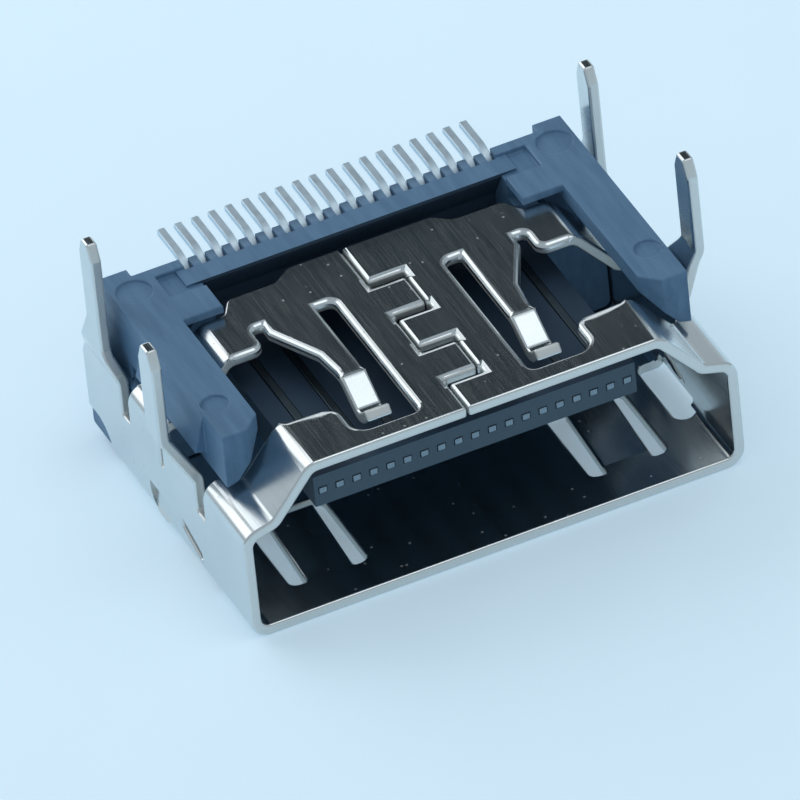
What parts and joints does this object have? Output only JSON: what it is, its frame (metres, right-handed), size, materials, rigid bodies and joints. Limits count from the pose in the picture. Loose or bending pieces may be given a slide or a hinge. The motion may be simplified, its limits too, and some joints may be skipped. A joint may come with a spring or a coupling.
{
  "type": "digital video socket",
  "caption": "Board-mount digital video socket: a folded steel shell with springs, a locked seam and board legs around a slate-blue insulator whose tongue carries flat contacts.",
  "frame": {"origin": "centre of the bounding box, on the wide face that the socket lies on", "axes": "+X across the mouth, +Y from the mouth to the tails, +Z from the wide face to the board side"},
  "size_m": [0.0162, 0.0108, 0.0077],
  "materials": {
    "shell_steel": "bright nickel-plated folded sheet",
    "insulator": "slate-blue moulded plastic, satin",
    "contact_metal": "tin-plated strip"
  },
  "bodies": {
    "root": {"shell": "shell_steel", "housing": "insulator", "contact_01": "contact_metal", "contact_02": "contact_metal", "contact_03": "contact_metal", "contact_04": "contact_metal", "contact_05": "contact_metal", "contact_06": "contact_metal", "contact_07": "contact_metal", "contact_08": "contact_metal", "contact_09": "contact_metal", "contact_10": "contact_metal", "contact_11": "contact_metal", "contact_12": "contact_metal", "contact_13": "contact_metal", "contact_14": "contact_metal", "contact_15": "contact_metal", "contact_16": "contact_metal", "contact_17": "contact_metal", "contact_18": "contact_metal", "contact_19": "contact_metal"}
  },
  "joints": []
}
